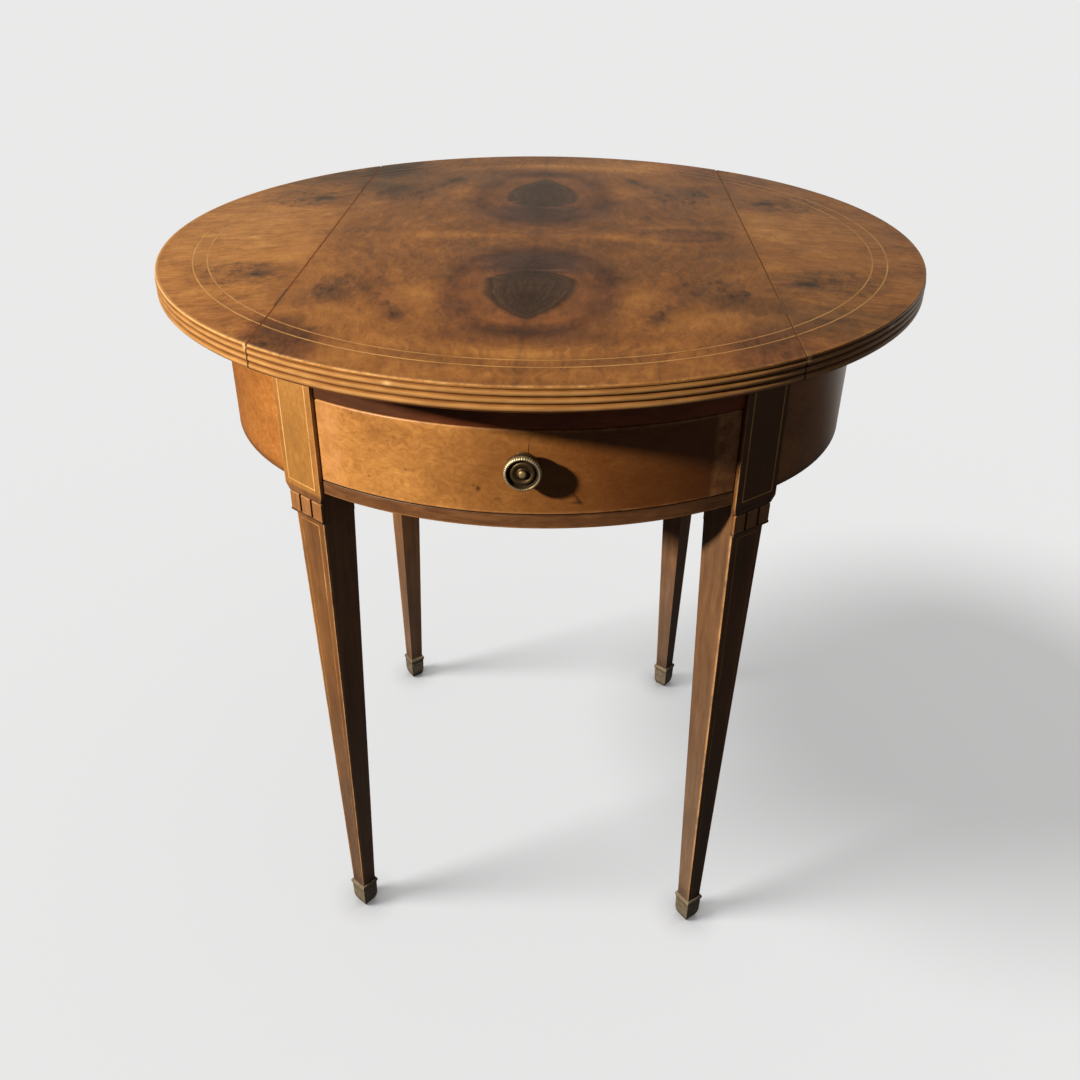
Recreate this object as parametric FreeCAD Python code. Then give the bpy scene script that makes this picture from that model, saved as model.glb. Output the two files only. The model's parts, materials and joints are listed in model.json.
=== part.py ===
import FreeCAD, Part
import math
import os

V = FreeCAD.Vector

# ---------------------------------------------------------------- dimensions
# Millimetres. Origin on the floor under the middle of the table, +Z up,
# -Y towards the drawer side, +X to the right of a person facing the drawer.

# round top
TOP_R = 361.8            # outer radius over the reeds
TOP_Z = 732.0            # height of the top surface
TOP_T = 20.5             # thickness of the fixed centre
SEAM_X = 207.0           # hinge lines of the two lids
SEAM_GAP = 0.30          # gap between centre and lid
AXIS_DEPTH = 1.2         # hinge axis below the top surface
RELIEF = 1.5             # set-back of the centre's arris beside the axis
LID_LIFT = 0.30          # room between lid and apron
GROOVE_R = 360.0         # bottom of the grooves between the reeds
REED_FLATS = 10

# stringing let into the top
STRING_OUT_R = 328.0
STRING_IN_R = 315.0
STRING_W = 1.3
STRING_D = 1.1
STRING_PROUD = 0.05

# apron
ZB = 565.5               # underside of the aprons and the bottom rail
APRON_T = 18.0
BOW_R = 352.0            # front and back bow
BOW_C = 75.0             # its centre lies this far past the middle
SIDE_R = 255.0           # side bows
SIDE_C = 55.0
TENON_T = 8.0
TENON_Z = (580.0, 698.0)

# legs
LEG_X = 187.5
LEG_Y = 204.0
LEG_TURN = 38.0          # outer face turned this far from the front
POST_W = (-22.0, 28.0)   # along the apron, towards the drawer and the side
POST_V = (-21.5, 17.6)   # inwards and outwards
POST_Z = 561.0
NECK_W = (-20.3, 23.0)
NECK_V = (-20.2, 15.4)
NECK_Z = (536.0, 555.0)
LEDGE_Z = 533.8
LEG_W_TOP = (-20.0, 18.0)
LEG_V_TOP = (-20.0, 16.0)
LEG_HALF_LOW = 8.0
LEG_END_Z = 7.0
TABLET_T = 2.1
TABLET_GAP = 2.8
TAPER_INSET = (0.19, 0.12)   # string panel's margins, as a share of the face's width

# sabots
SABOT_H = 34.0
SABOT_RIDGE = 6.0

# drawer
DR_Z = (579.0, 657.0)
DR_FRONT_T = 20.0
DR_GAP = 1.0
DR_SIDE_X = 149.5
DR_SIDE_T = 10.0
DR_SIDE_Z = (580.0, 648.0)
DR_BACK_Y = 200.0
DR_BOTTOM_Z = (583.5, 588.5)
RAIL_TOP_Z = 657.6
RAIL_LOW_Z = 578.4
KNOB_Z = 626.5

# hinges
HINGE_Y = 190.0
HINGE_L = 40.0
BARREL_R = 1.08
PIN_R = 0.50
BORE_R = 0.55
LEAF_T = 0.7
LEAF_H = 15.5

UNDER = TOP_Z - TOP_T
AXIS_Z = TOP_Z - AXIS_DEPTH
BIG = 1000.0

parts = {}


def box(x0, x1, y0, y1, z0, z1):
    return Part.makeBox(x1 - x0, y1 - y0, z1 - z0, V(x0, y0, z0))


def cyl(r, z0, z1, x=0.0, y=0.0):
    return Part.makeCylinder(r, z1 - z0, V(x, y, z0), V(0, 0, 1))


def rod(p, d, r, length):
    return Part.makeCylinder(r, length, p, d)


def mirror_x(s):
    return s.mirror(V(0, 0, 0), V(1, 0, 0))


def mirror_y(s):
    return s.mirror(V(0, 0, 0), V(0, 1, 0))


def clean(s):
    return s.removeSplitter()


def prism(points, direction):
    wire = Part.makePolygon([V(*p) for p in points] + [V(*points[0])])
    return Part.Face(wire).extrude(direction)


def frustum(a, za, b, zb):
    """Flat-sided solid between two axis-aligned rectangles (x0, x1, y0, y1)."""
    def corners(q, z):
        x0, x1, y0, y1 = q
        return [V(x0, y0, z), V(x1, y0, z), V(x1, y1, z), V(x0, y1, z)]
    lo, hi = corners(a, za), corners(b, zb)
    rings = [lo, hi] + [[lo[i], lo[(i + 1) % 4], hi[(i + 1) % 4], hi[i]] for i in range(4)]
    faces = [Part.Face(Part.makePolygon(r + [r[0]])) for r in rings]
    solid = Part.Solid(Part.Shell(faces))
    if solid.Volume < 0:
        solid.reverse()
    return solid


def group(solids):
    return Part.makeCompound([s for one in solids for s in one.Solids])


def sector(cx, cy, r0, r1, mid_deg, half_deg, z0, z1):
    """Piece of a ring wall about (cx, cy), centred on the direction mid_deg."""
    a0 = math.radians(mid_deg - half_deg)
    a1 = math.radians(mid_deg + half_deg)
    am = math.radians(mid_deg)

    def p(r, a):
        return V(cx + r * math.cos(a), cy + r * math.sin(a), z0)
    edges = [
        Part.Arc(p(r1, a0), p(r1, am), p(r1, a1)).toShape(),
        Part.LineSegment(p(r1, a1), p(r0, a1)).toShape(),
        Part.Arc(p(r0, a1), p(r0, am), p(r0, a0)).toShape(),
        Part.LineSegment(p(r0, a0), p(r1, a0)).toShape(),
    ]
    return Part.Face(Part.Wire(edges)).extrude(V(0, 0, z1 - z0))


# ------------------------------------------------------------------- the top
def top_blank(under, sweep):
    """Round blank, or a wedge of it, with a thin lip and three reeds on its edge.

    Each reed is worked as a run of narrow flats.
    """
    edges = []

    def line(a, b):
        edges.append(Part.LineSegment(V(a[0], 0, a[1]), V(b[0], 0, b[1])).toShape())

    def arc(a, m, b):
        pts = Part.Arc(V(a[0], 0, a[1]), V(m[0], 0, m[1]), V(b[0], 0, b[1])).toShape().discretize(REED_FLATS + 1)
        for p, q in zip(pts, pts[1:]):
            edges.append(Part.LineSegment(p, q).toShape())
    t = TOP_Z
    line((0, under), (GROOVE_R - 0.3, under))
    line((GROOVE_R - 0.3, under), (GROOVE_R, t - 19.7))
    arc((GROOVE_R, t - 19.7), (TOP_R, t - 17.0), (GROOVE_R, t - 14.3))
    line((GROOVE_R, t - 14.3), (GROOVE_R, t - 13.7))
    arc((GROOVE_R, t - 13.7), (TOP_R, t - 11.2), (GROOVE_R, t - 8.7))
    line((GROOVE_R, t - 8.7), (GROOVE_R, t - 8.1))
    arc((GROOVE_R, t - 8.1), (TOP_R, t - 5.6), (GROOVE_R, t - 3.1))
    line((GROOVE_R, t - 3.1), (GROOVE_R, t - 2.5))
    line((GROOVE_R, t - 2.5), (TOP_R - 0.7, t - 2.2))
    line((TOP_R - 0.7, t - 2.2), (TOP_R - 0.7, t - 1.0))
    arc((TOP_R - 0.7, t - 1.0), (TOP_R - 1.03, t - 0.3), (TOP_R - 1.8, t))
    line((TOP_R - 1.8, t), (0, t))
    line((0, t), (0, under))
    blank = Part.Face(Part.Wire(edges)).revolve(V(0, 0, 0), V(0, 0, 1), sweep)
    if sweep < 360:
        blank.rotate(V(0, 0, 0), V(0, 0, 1), -sweep / 2)
    return blank


def ring(r):
    z0 = TOP_Z - STRING_D
    z1 = TOP_Z + STRING_PROUD
    return cyl(r + STRING_W / 2, z0, z1).cut(cyl(r - STRING_W / 2, z0, z1))


rings = [ring(STRING_OUT_R), ring(STRING_IN_R)]
edge_in = SEAM_X - SEAM_GAP / 2
edge_out = SEAM_X + SEAM_GAP / 2

centre_zone = box(-edge_in, edge_in, -BIG, BIG, -BIG, BIG)
for sx in (-1, 1):
    x0, x1 = sorted((sx * (SEAM_X - RELIEF), sx * BIG))
    centre_zone = centre_zone.cut(box(x0, x1, -BIG, BIG, AXIS_Z, BIG))
lid_zone = box(edge_out, BIG, -BIG, BIG, -BIG, BIG)

centre = top_blank(UNDER, 360).common(centre_zone)
lid_r = top_blank(UNDER + LID_LIFT, 120).common(lid_zone)
centre_strings = group([r.common(centre_zone) for r in rings])
lid_strings_r = group([r.common(lid_zone) for r in rings])
centre = centre.cut(centre_strings)
lid_r = lid_r.cut(lid_strings_r)


# -------------------------------------------------------------------- hinges
# Slim butt hinges standing in the seam, barrel just below the surface.
def along_y(r, x, z, y0, y1):
    return rod(V(x, y0, z), V(0, 1, 0), r, y1 - y0)


def screw(p, d, head_r, shank_r, length):
    """Countersunk wood screw: p on the face, d into the wood."""
    head = Part.makeCone(head_r, shank_r, 1.4, p, d)
    shank = rod(p + d * 1.4, d, shank_r, length - 3.4)
    tip = Part.makeCone(shank_r, 0.15, 2.0, p + d * (length - 2.0), d)
    return head.fuse(shank).fuse(tip)


fixed_leaves, lid_leaves, pins, fixed_screws, lid_screws = [], [], [], [], []
for hy in (-HINGE_Y, HINGE_Y):
    y0, y1 = hy - HINGE_L / 2, hy + HINGE_L / 2
    ya, yb = hy - 7.0, hy + 7.0
    leaf_top = AXIS_Z
    leaf_low = AXIS_Z - LEAF_H
    clear = 0.3
    bore = along_y(BORE_R, SEAM_X, AXIS_Z, y0 - 1, y1 + 1)

    fixed = box(SEAM_X - 0.1 - LEAF_T, SEAM_X - 0.1, y0, y1, leaf_low, leaf_top)
    fixed = fixed.cut(along_y(BARREL_R + clear, SEAM_X, AXIS_Z, ya - 0.1, yb + 0.1))
    fixed = fixed.fuse(along_y(BARREL_R, SEAM_X, AXIS_Z, y0, ya - 0.1))
    fixed = fixed.fuse(along_y(BARREL_R, SEAM_X, AXIS_Z, yb + 0.1, y1))
    fixed = fixed.cut(bore)

    moving = box(SEAM_X + 0.1, SEAM_X + 0.1 + LEAF_T, y0, y1, leaf_low, leaf_top)
    for q0, q1 in ((y0 - 0.1, ya + 0.1), (yb - 0.1, y1 + 0.1)):
        moving = moving.cut(along_y(BARREL_R + clear, SEAM_X, AXIS_Z, q0, q1))
    moving = moving.fuse(along_y(BARREL_R, SEAM_X, AXIS_Z, ya + 0.1, yb - 0.1))
    moving = moving.cut(bore)

    pin = along_y(PIN_R, SEAM_X, AXIS_Z, y0, y1)

    sf, sm = [], []
    for dy in (-12.0, 12.0):
        sf.append(screw(V(SEAM_X - 0.15, hy + dy, AXIS_Z - 9.5), V(-1, 0, 0), 2.3, 1.1, 11.0))
        sm.append(screw(V(SEAM_X + 0.15, hy + dy, AXIS_Z - 9.5), V(1, 0, 0), 2.3, 1.1, 11.0))
    for s in sf:
        fixed = fixed.cut(s)
    for s in sm:
        moving = moving.cut(s)

    # housings in the two edges
    barrel_room = along_y(BARREL_R + clear, SEAM_X, AXIS_Z, y0 - 0.3, y1 + 0.3)
    centre = centre.cut(barrel_room)
    lid_r = lid_r.cut(barrel_room)
    centre = centre.cut(box(SEAM_X - 0.1 - LEAF_T, SEAM_X, y0, y1, leaf_low, leaf_top))
    lid_r = lid_r.cut(box(SEAM_X, SEAM_X + 0.1 + LEAF_T, y0, y1, leaf_low, leaf_top))
    for s in sf:
        centre = centre.cut(s)
    for s in sm:
        lid_r = lid_r.cut(s)

    fixed_leaves.append(clean(fixed))
    lid_leaves.append(clean(moving))
    pins.append(pin)
    fixed_screws += sf
    lid_screws += sm

# same housings on the left seam of the centre
for hy in (-HINGE_Y, HINGE_Y):
    y0, y1 = hy - HINGE_L / 2, hy + HINGE_L / 2
    centre = centre.cut(along_y(BARREL_R + 0.3, -SEAM_X, AXIS_Z, y0 - 0.3, y1 + 0.3))
    centre = centre.cut(box(-SEAM_X, -SEAM_X + 0.1 + LEAF_T, y0, y1, AXIS_Z - LEAF_H, AXIS_Z))
for s in fixed_screws:
    centre = centre.cut(mirror_x(s))

parts["lid_right"] = lid_r
parts["lid_left"] = mirror_x(lid_r)
parts["lid_stringing_right"] = lid_strings_r
parts["lid_stringing_left"] = mirror_x(lid_strings_r)
parts["centre_stringing"] = centre_strings
parts["hinge_fixed_leaves_right"] = group(fixed_leaves)
parts["hinge_fixed_leaves_left"] = mirror_x(group(fixed_leaves))
parts["hinge_lid_leaves_right"] = group(lid_leaves)
parts["hinge_lid_leaves_left"] = mirror_x(group(lid_leaves))
parts["hinge_pins"] = group(pins + [mirror_x(p) for p in pins])
parts["hinge_screws_centre"] = group(fixed_screws + [mirror_x(s) for s in fixed_screws])
parts["hinge_screws_lid_right"] = group(lid_screws)
parts["hinge_screws_lid_left"] = mirror_x(group(lid_screws))


# ---------------------------------------------------------------------- legs
# Drawn upright about their own axis: X along the apron towards the side,
# Y outwards. Then turned and set at the front left, and mirrored.
def to_leg_place(s):
    s = s.copy()
    s.rotate(V(0, 0, 0), V(0, 0, 1), 180.0 - LEG_TURN)
    s.translate(V(-LEG_X, -LEG_Y, 0))
    return s


post = box(POST_W[0], POST_W[1], POST_V[0], POST_V[1], POST_Z, UNDER)
throat = frustum((NECK_W[0], NECK_W[1], NECK_V[0], POST_V[1]), NECK_Z[1],
                 (POST_W[0], POST_W[1], POST_V[0], POST_V[1]), POST_Z)
neck = box(NECK_W[0], NECK_W[1], NECK_V[0], NECK_V[1], NECK_Z[0], NECK_Z[1])
ledge = box(NECK_W[0], NECK_W[1] + 0.6, NECK_V[0], NECK_V[1] + TABLET_T + 0.2, LEDGE_Z, NECK_Z[0])
taper = frustum((-LEG_HALF_LOW, LEG_HALF_LOW, -LEG_HALF_LOW, LEG_HALF_LOW), LEG_END_Z,
                (LEG_W_TOP[0], LEG_W_TOP[1], LEG_V_TOP[0], LEG_V_TOP[1]), LEDGE_Z)
leg = clean(post.fuse(throat).fuse(neck).fuse(ledge).fuse(taper))

# tablets on the outer face of the neck
tab_total = NECK_W[1] - NECK_W[0]
tab_w = (tab_total - 2 * TABLET_GAP) / 3.0
tablets = []
for i in range(3):
    x0 = NECK_W[0] + i * (tab_w + TABLET_GAP)
    tablets.append(box(x0, x0 + tab_w, NECK_V[1], NECK_V[1] + TABLET_T, NECK_Z[0], NECK_Z[1] - 1.0))
tablets = [t.cut(throat) for t in tablets]

# stringing panel on the post
sw = 1.3
px0, px1, pz0, pz1 = -15.0, 22.5, 566.5, 704.0
depth = box(-BIG, BIG, POST_V[1] - 1.0, POST_V[1] + STRING_PROUD, -BIG, BIG)
panel = box(px0, px1, -BIG, BIG, pz0, pz1).cut(box(px0 + sw, px1 - sw, -BIG, BIG, pz0 + sw, pz1 - sw)).common(depth)

# stringing on the outer face of the taper
slope = (LEG_V_TOP[1] - LEG_HALF_LOW) / (LEDGE_Z - LEG_END_Z)
normal = V(0, 1, -slope)
normal.normalize()


def edge_w(z, top):
    """Where the taper's edge lies at height z: top is its place under the neck."""
    low = math.copysign(LEG_HALF_LOW, top)
    return low + (top - low) * (z - LEG_END_Z) / (LEDGE_Z - LEG_END_Z)


def on_taper(w, z, off):
    return V(w, LEG_HALF_LOW + slope * (z - LEG_END_Z), z) + normal * off


def taper_frame(line, z0, z1):
    """Outline set in from both edges by a share of the face's width, and by line more."""
    pts = []
    for z, side in ((z0 + line, 0), (z0 + line, 1), (z1 - line, 1), (z1 - line, 0)):
        w0, w1 = edge_w(z, LEG_W_TOP[0]), edge_w(z, LEG_W_TOP[1])
        w = w0 + TAPER_INSET[0] * (w1 - w0) + line if side == 0 else w1 - TAPER_INSET[1] * (w1 - w0) - line
        pts.append(on_taper(w, z, -1.0))
    return Part.Face(Part.makePolygon(pts + [pts[0]])).extrude(normal * (1.0 + STRING_PROUD))


line_frame = taper_frame(0.0, 46.0, 529.0).cut(taper_frame(sw, 46.0, 529.0))
leg_strings = group([panel, line_frame])
leg = leg.cut(panel).cut(line_frame)

# sabot: square cap, drawn in at the bottom, with a ridge round its mouth
def square(h):
    return (-h, h, -h, h)


mouth = SABOT_H - SABOT_RIDGE
sabot = frustum(square(7.2), 0.0, square(8.7), 4.5)
for h0, z0, h1, z1 in ((8.7, 4.5, 9.5, 10.0), (9.5, 10.0, 9.8, mouth), (10.0, mouth, 10.8, mouth + 1.8),
                       (10.8, mouth + 1.8, 10.8, SABOT_H - 1.4), (10.8, SABOT_H - 1.4, 10.1, SABOT_H)):
    sabot = sabot.fuse(frustum(square(h0), z0, square(h1), z1))
sabot = clean(sabot.cut(taper))

# two brass pins through the sabot into the leg
sabot_pins = [rod(V(s * 10.15, 0, 18.0), V(-s, 0, 0), 0.9, 7.0) for s in (-1, 1)]
for p in sabot_pins:
    sabot = sabot.cut(p)
    leg = leg.cut(p)

post_fl = to_leg_place(clean(post.fuse(throat)))
leg_fl = to_leg_place(leg)
tablets_fl = [to_leg_place(t) for t in tablets]
strings_fl = to_leg_place(leg_strings)
sabot_fl = to_leg_place(sabot)
pins_fl = [to_leg_place(p) for p in sabot_pins]
posts = [post_fl, mirror_x(post_fl), mirror_y(post_fl), mirror_x(mirror_y(post_fl))]

# ----------------------------------------------------------- aprons and rails
# Bowed boards whose shoulders meet the posts and whose tenons go into them.
front_y = BOW_C
FRONT, BACK, RIGHT, LEFT = 270.0, 90.0, 0.0, 180.0


def bowed(cx, cy, r_out, t, mid, half, z0, z1, tz0, tz1):
    body = sector(cx, cy, r_out - t, r_out, mid, half, z0, z1)
    tenon = sector(cx, cy, r_out - t / 2 - TENON_T / 2, r_out - t / 2 + TENON_T / 2, mid, half, tz0, tz1)
    for p in posts:
        body = body.cut(p)
    inside = [tenon.common(p) for p in posts]
    for s in inside:
        if s.Solids:
            body = body.fuse(s)
    return clean(body)


apron_right = bowed(SIDE_C, 0, SIDE_R, APRON_T, RIGHT, 54.2, ZB, UNDER, TENON_Z[0], TENON_Z[1])
apron_back = bowed(0, -BOW_C, BOW_R, APRON_T, BACK, 32.8, ZB, UNDER, TENON_Z[0], TENON_Z[1])
rail_top = bowed(0, BOW_C, BOW_R, DR_FRONT_T, FRONT, 32.8, RAIL_TOP_Z, UNDER, RAIL_TOP_Z + 8, UNDER - 12)
rail_low = bowed(0, BOW_C, BOW_R, 40.0, FRONT, 32.4, ZB, RAIL_LOW_Z, ZB + 2.5, RAIL_LOW_Z - 2.5)
apron_left = mirror_x(apron_right)

# -------------------------------------------------------- wells under the lids
WELL_T = 8.0
WELL_Z = 568.0
well_bottom = cyl(SIDE_R - APRON_T + 6.0, WELL_Z, WELL_Z + WELL_T, SIDE_C, 0).common(box(196.0, BIG, -BIG, BIG, -BIG, BIG))
for p in posts:
    well_bottom = well_bottom.cut(p)
well_bottom = max(well_bottom.Solids, key=lambda s: s.Volume)
apron_right = apron_right.cut(well_bottom)
apron_left = mirror_x(apron_right)

partition = box(196.0, 204.0, -215.0, 215.0, WELL_Z + WELL_T, UNDER)
for p in posts:
    partition = partition.cut(p)
partition = max(partition.Solids, key=lambda s: s.Volume)
partition = partition.cut(apron_right)
partition = max(partition.Solids, key=lambda s: s.Volume)

# ---------------------------------------------------------------------- drawer
front_cyl = cyl(BOW_R - DR_FRONT_T, 0, BIG, 0, BOW_C)
drawer_front = sector(0, BOW_C, BOW_R - DR_FRONT_T, BOW_R, FRONT, 33.0, DR_Z[0], DR_Z[1])
wide_post = to_leg_place(box(POST_W[0] - DR_GAP, POST_W[1] + 60, POST_V[0] - 40, POST_V[1] + 40, 0, BIG))
drawer_front = drawer_front.cut(wide_post).cut(mirror_x(wide_post))
drawer_front = max(drawer_front.Solids, key=lambda s: s.Volume)

side = box(DR_SIDE_X - DR_SIDE_T, DR_SIDE_X, -290.0, DR_BACK_Y, DR_SIDE_Z[0], DR_SIDE_Z[1]).common(front_cyl)
back = box(-DR_SIDE_X + DR_SIDE_T, DR_SIDE_X - DR_SIDE_T, DR_BACK_Y - 10.0, DR_BACK_Y, DR_BOTTOM_Z[1], DR_SIDE_Z[1] - 4.0)
bottom = box(-DR_SIDE_X + 6.0, DR_SIDE_X - 6.0, -290.0, DR_BACK_Y, DR_BOTTOM_Z[0], DR_BOTTOM_Z[1]).common(
    cyl(BOW_R - DR_FRONT_T + 6.0, 0, BIG, 0, BOW_C))
side = side.cut(bottom)
drawer_front = drawer_front.cut(bottom)

# knob: backplate, dished head on a stem, bolt, washer and nut
fy = BOW_C - BOW_R


def turned(points):
    """Solid turned about the knob's axis: (radius, distance out of the drawer front)."""
    wire = Part.makePolygon([V(r, 0, s) for r, s in points] + [V(points[0][0], 0, points[0][1])])
    s = Part.Face(wire).revolve(V(0, 0, 0), V(0, 0, 1), 360)
    s.rotate(V(0, 0, 0), V(1, 0, 0), 90)
    s.translate(V(0, fy, KNOB_Z))
    return s


backplate = turned([(0, -0.4), (11.0, -0.4), (11.0, 1.0), (10.2, 1.8), (8.6, 1.8), (8.0, 2.6), (0, 2.6)]).cut(drawer_front)
backplate = max(backplate.Solids, key=lambda s: s.Volume)
knob = turned([(0, 2.6), (6.4, 2.6), (5.6, 3.4), (5.4, 4.8), (6.6, 6.2), (10.9, 7.0), (13.8, 7.8), (14.8, 9.0),
               (15.1, 10.6), (14.8, 12.4), (14.6, 13.6), (15.2, 14.6), (15.7, 16.0), (15.5, 17.8), (14.5, 19.0), (13.4, 19.2),
               (12.6, 18.6), (12.2, 16.6), (10.7, 15.2), (9.9, 15.8), (9.5, 16.8), (7.8, 17.0), (6.6, 16.2), (4.2, 16.0),
               (3.8, 17.6), (2.6, 18.8), (0, 19.2)])
bolt = rod(V(0, fy - 8.5, KNOB_Z), V(0, 1, 0), 2.0, 8.5 + DR_FRONT_T + 6.0)
inner_y = BOW_C - BOW_R + DR_FRONT_T
washer = rod(V(0, inner_y - 0.3, KNOB_Z), V(0, 1, 0), 6.0, 1.5).cut(drawer_front).cut(bolt)
washer = max(washer.Solids, key=lambda s: s.Volume)
hexagon = [(4.05 * math.cos(math.radians(60 * i)), inner_y + 1.2, KNOB_Z + 4.05 * math.sin(math.radians(60 * i))) for i in range(6)]
nut = prism(hexagon, V(0, 3.2, 0)).cut(bolt)
backplate = backplate.cut(bolt)
knob = knob.cut(bolt)
drawer_front = drawer_front.cut(bolt)

# --------------------------------------------------- what carries the drawer
runner = box(128.0, 196.0, -225.0, 290.0, 569.5, 579.7)
guide = box(150.0, 156.0, -205.0, 205.0, 579.7, 598.0)
kicker = box(132.0, 150.0, -270.0, 290.0, 649.0, 669.0)
for s in posts:
    runner = runner.cut(s)
    guide = guide.cut(s)
back_zone = cyl(BOW_R - APRON_T, 0, BIG, 0, -BOW_C)
runner = runner.common(back_zone).common(cyl(BOW_R - 40.0, 0, BIG, 0, BOW_C))
runner = max(runner.Solids, key=lambda s: s.Volume)
rail_zone = cyl(BOW_R - DR_FRONT_T, 0, BIG, 0, BOW_C)
guide = guide.common(rail_zone).cut(rail_low)
guide = max(guide.Solids, key=lambda s: s.Volume)
kicker = kicker.common(back_zone).common(rail_zone)
stop = box(DR_SIDE_X - DR_SIDE_T, DR_SIDE_X, DR_BACK_Y + 0.4, DR_BACK_Y + 14.0, 579.7, 596.0)

# glue blocks behind the top rail and the back apron, and the screws through them
blocks, block_screws = [], []
for bx in (-85.0, 85.0):
    b1 = box(bx - 22, bx + 22, -280.0, -220.0, 689.0, UNDER).common(rail_zone)
    b2 = box(bx - 22, bx + 22, 222.0, 280.0, 689.0, UNDER).common(back_zone)
    for b, y in ((b1, -231.0), (b2, 234.0)):
        s = screw(V(bx, y, 689.0), V(0, 0, 1), 4.0, 2.0, 34.0)
        blocks.append(b.cut(s))
        centre = centre.cut(s)
        block_screws.append(s)

# legs take the tenons and the bottoms of the wells
for s in (apron_left, rail_top, rail_low):
    leg_fl = leg_fl.cut(s)
leg_rl = mirror_y(to_leg_place(leg))
for s in (apron_left, apron_back):
    leg_rl = leg_rl.cut(s)

parts["top_centre"] = centre
for name, s in (("front_left", leg_fl), ("front_right", mirror_x(leg_fl)),
                ("rear_left", leg_rl), ("rear_right", mirror_x(leg_rl))):
    parts["leg_" + name] = s
for name, f in (("front_left", lambda q: q), ("front_right", mirror_x), ("rear_left", mirror_y),
                ("rear_right", lambda q: mirror_x(mirror_y(q)))):
    parts["leg_stringing_" + name] = f(strings_fl)
    parts["sabot_" + name] = f(sabot_fl)
    parts["neck_tablets_" + name] = group([f(t) for t in tablets_fl])
parts["sabot_pins"] = group([f(p) for p in pins_fl for f in
                             (lambda q: q, mirror_x, mirror_y, lambda q: mirror_x(mirror_y(q)))])
parts["apron_left"] = apron_left
parts["apron_right"] = apron_right
parts["apron_back"] = apron_back
parts["front_rail_top"] = rail_top
parts["front_rail_bottom"] = rail_low
parts["well_bottom_right"] = well_bottom
parts["well_bottom_left"] = mirror_x(well_bottom)
parts["partition_right"] = partition
parts["partition_left"] = mirror_x(partition)
parts["drawer_front"] = drawer_front
parts["drawer_side_right"] = side
parts["drawer_side_left"] = mirror_x(side)
parts["drawer_back"] = back
parts["drawer_bottom"] = bottom
parts["knob"] = knob
parts["knob_backplate"] = backplate
parts["knob_bolt"] = bolt
parts["knob_washer"] = washer
parts["knob_nut"] = nut
parts["drawer_runner_right"] = runner
parts["drawer_runner_left"] = mirror_x(runner)
parts["drawer_guide_right"] = guide
parts["drawer_guide_left"] = mirror_x(guide)
parts["drawer_kicker_right"] = kicker
parts["drawer_kicker_left"] = mirror_x(kicker)
parts["drawer_stops"] = group([stop, mirror_x(stop)])
parts["glue_blocks"] = group(blocks)
parts["top_screws"] = group(block_screws)

os.makedirs("parts", exist_ok=True)
for name in sorted(parts):
    shape = parts[name]
    solids = shape.Solids
    if len(solids) == 1:
        shape = solids[0]
    bb = shape.optimalBoundingBox(False)
    print("%-28s solids %2d valid %s volume %10.1f  x %.1f..%.1f y %.1f..%.1f z %.1f..%.1f" % (
        name, len(solids), shape.isValid(), shape.Volume, bb.XMin, bb.XMax, bb.YMin, bb.YMax, bb.ZMin, bb.ZMax))
    shape.exportStep("parts/" + name + ".step")
print(len(parts), "nodes")
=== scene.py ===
import json
import math

import bmesh
import bpy
from mathutils import Matrix, Vector

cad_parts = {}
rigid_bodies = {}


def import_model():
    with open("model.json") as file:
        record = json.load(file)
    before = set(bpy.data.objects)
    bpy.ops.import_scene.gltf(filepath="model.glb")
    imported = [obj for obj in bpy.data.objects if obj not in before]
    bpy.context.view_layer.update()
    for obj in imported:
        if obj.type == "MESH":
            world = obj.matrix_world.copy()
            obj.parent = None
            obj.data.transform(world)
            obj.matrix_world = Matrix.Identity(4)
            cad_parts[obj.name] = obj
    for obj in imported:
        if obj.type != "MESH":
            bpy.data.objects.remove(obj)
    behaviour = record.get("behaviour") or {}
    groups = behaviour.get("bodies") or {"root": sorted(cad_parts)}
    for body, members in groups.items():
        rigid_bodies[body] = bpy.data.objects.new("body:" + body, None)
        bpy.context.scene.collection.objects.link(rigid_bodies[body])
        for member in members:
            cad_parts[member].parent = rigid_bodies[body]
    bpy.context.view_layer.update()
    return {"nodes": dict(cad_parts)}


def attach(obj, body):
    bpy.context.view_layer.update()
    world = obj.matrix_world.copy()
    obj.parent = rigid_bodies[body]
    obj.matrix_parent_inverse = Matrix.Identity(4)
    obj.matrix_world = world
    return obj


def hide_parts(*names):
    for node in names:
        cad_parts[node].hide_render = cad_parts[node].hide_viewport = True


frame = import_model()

NODES = frame["nodes"]
scene = bpy.context.scene


# ------------------------------------------------------------------ shader helpers
def lin(rgb):
    """sRGB 0-255 to a linear RGBA tuple."""
    out = []
    for c in rgb:
        c = c / 255.0
        out.append(c / 12.92 if c <= 0.04045 else ((c + 0.055) / 1.055) ** 2.4)
    return (out[0], out[1], out[2], 1.0)


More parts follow.
